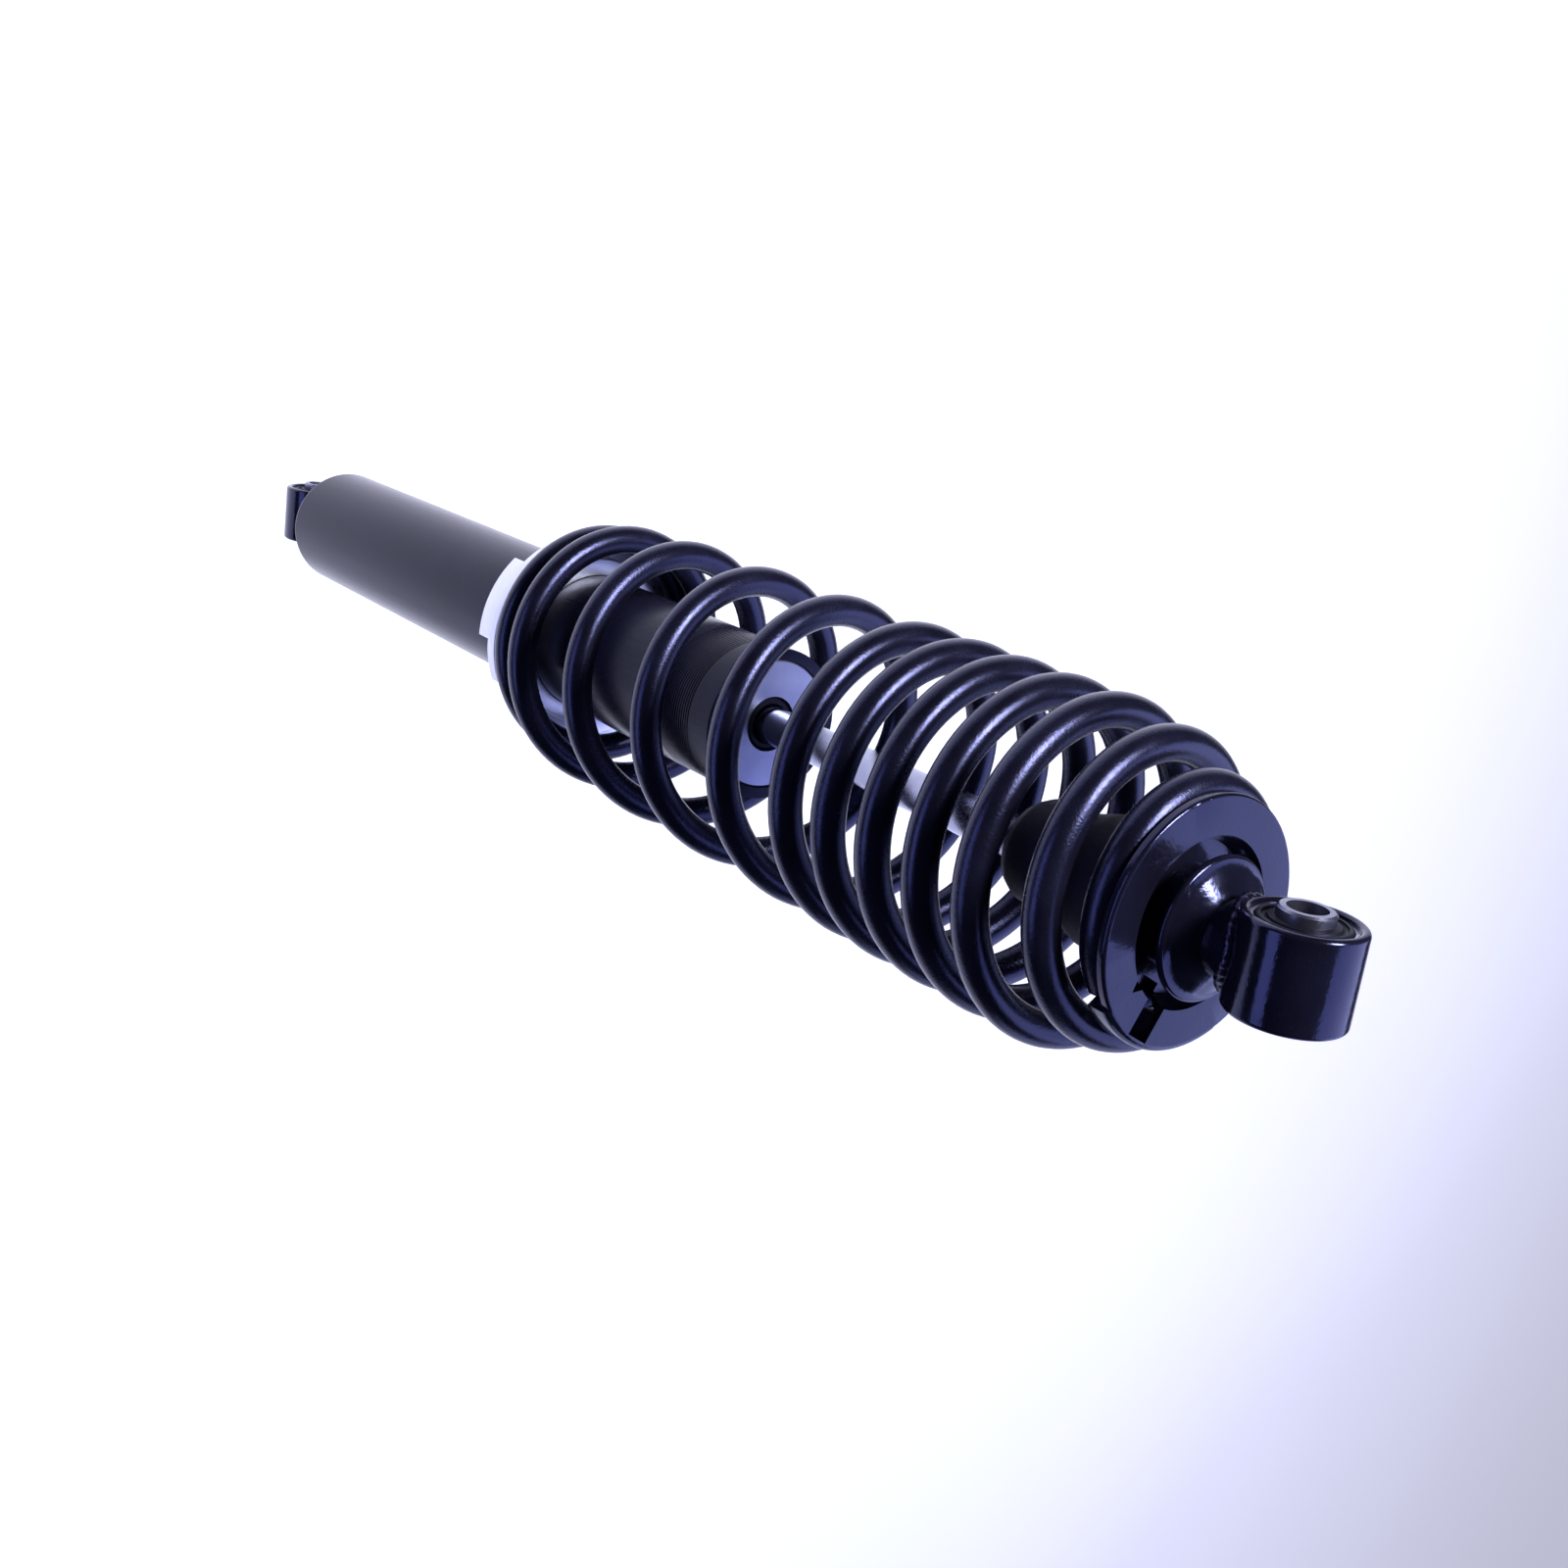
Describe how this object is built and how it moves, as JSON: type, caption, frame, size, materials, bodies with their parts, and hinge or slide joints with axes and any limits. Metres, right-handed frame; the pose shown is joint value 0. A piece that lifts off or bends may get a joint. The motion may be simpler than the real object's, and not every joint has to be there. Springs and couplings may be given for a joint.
{
  "type": "strut assembly",
  "caption": "Coil-over suspension strut: damper tube, sliding piston rod, coil spring between seat and retainer, and a rubber-bushed bolt eye at each end.",
  "frame": {"origin": "centre of the lower eye, on the axis of its bolt hole, half-way along the sleeve", "axes": "+Z along the strut from the lower eye to the upper eye, +X along both eye bolts, +Y square to both"},
  "size_m": [0.0968, 0.0968, 0.6213],
  "materials": {
    "painted_black": "gloss black paint",
    "tube_black": "satin black paint",
    "spring_black": "black powder coat with fine orange peel",
    "weld_black": "rippled weld bead under gloss black paint",
    "zinc": "bright zinc plate",
    "cap_zinc": "dull zinc plate",
    "steel": "machined steel",
    "sleeve_steel": "turned steel with a light oxide film",
    "rod_chrome": "hard chrome, ground",
    "guide_alloy": "turned alloy",
    "bush_bronze": "sintered bronze lining",
    "seal_rubber": "smooth black seal rubber",
    "bush_rubber": "moulded matte black rubber",
    "bump_foam": "fine-celled black bump stop",
    "band_plastic": "filled low-friction plastic"
  },
  "bodies": {
    "tube": {"strut_tube": "tube_black", "end_cap": "tube_black", "lower_neck_weld": "weld_black", "lower_eye": "painted_black", "lower_bush_shell": "steel", "lower_bush_rubber": "bush_rubber", "seat_snap_ring": "steel", "spring_seat": "zinc", "pressure_tube": "steel", "base_valve_body": "guide_alloy", "base_valve_shims": "steel", "base_valve_bolt": "steel", "rod_guide": "guide_alloy", "guide_bush": "bush_bronze", "guide_o_ring": "seal_rubber", "rod_seal": "seal_rubber", "gland_cap": "cap_zinc", "coil_spring": "spring_black"},
    "rod": {"piston_rod": "rod_chrome", "rebound_stop_ring": "steel", "rebound_bumper": "bush_rubber", "piston": "steel", "piston_band": "band_plastic", "compression_shims": "steel", "rebound_shims": "steel", "piston_nut": "steel", "bump_stop": "bump_foam", "bump_stop_washer": "steel", "spring_retainer": "painted_black", "dome_cup": "painted_black", "eye_weld": "weld_black", "upper_eye": "painted_black", "upper_bush_shell": "steel", "upper_bush_rubber": "bush_rubber"},
    "collar": {"preload_collar": "zinc"},
    "lower_sleeve": {"lower_sleeve": "sleeve_steel"},
    "upper_sleeve": {"upper_sleeve": "sleeve_steel"}
  },
  "joints": [
    {"name": "rod_slide", "type": "slide", "parent": "tube", "child": "rod", "axis": [0, 0, -1], "range_m": [0, 0.12], "stiffness_N_per_m": 13800, "springref_m": -0.015, "deforming": ["coil_spring"]},
    {"name": "collar_turn", "type": "hinge", "parent": "tube", "child": "collar", "pos_m": [0, 0, 0.2565], "axis": [0, 0, 1], "continuous": true},
    {"name": "lower_eye_twist", "type": "hinge", "parent": "tube", "child": "lower_sleeve", "pos_m": [0, 0, 0], "axis": [1, 0, 0], "range_deg": [-15, 15], "stiffness_Nm_per_rad": 8},
    {"name": "upper_eye_twist", "type": "hinge", "parent": "rod", "child": "upper_sleeve", "pos_m": [0, 0, 0.5905], "axis": [1, 0, 0], "range_deg": [-15, 15], "stiffness_Nm_per_rad": 8}
  ]
}
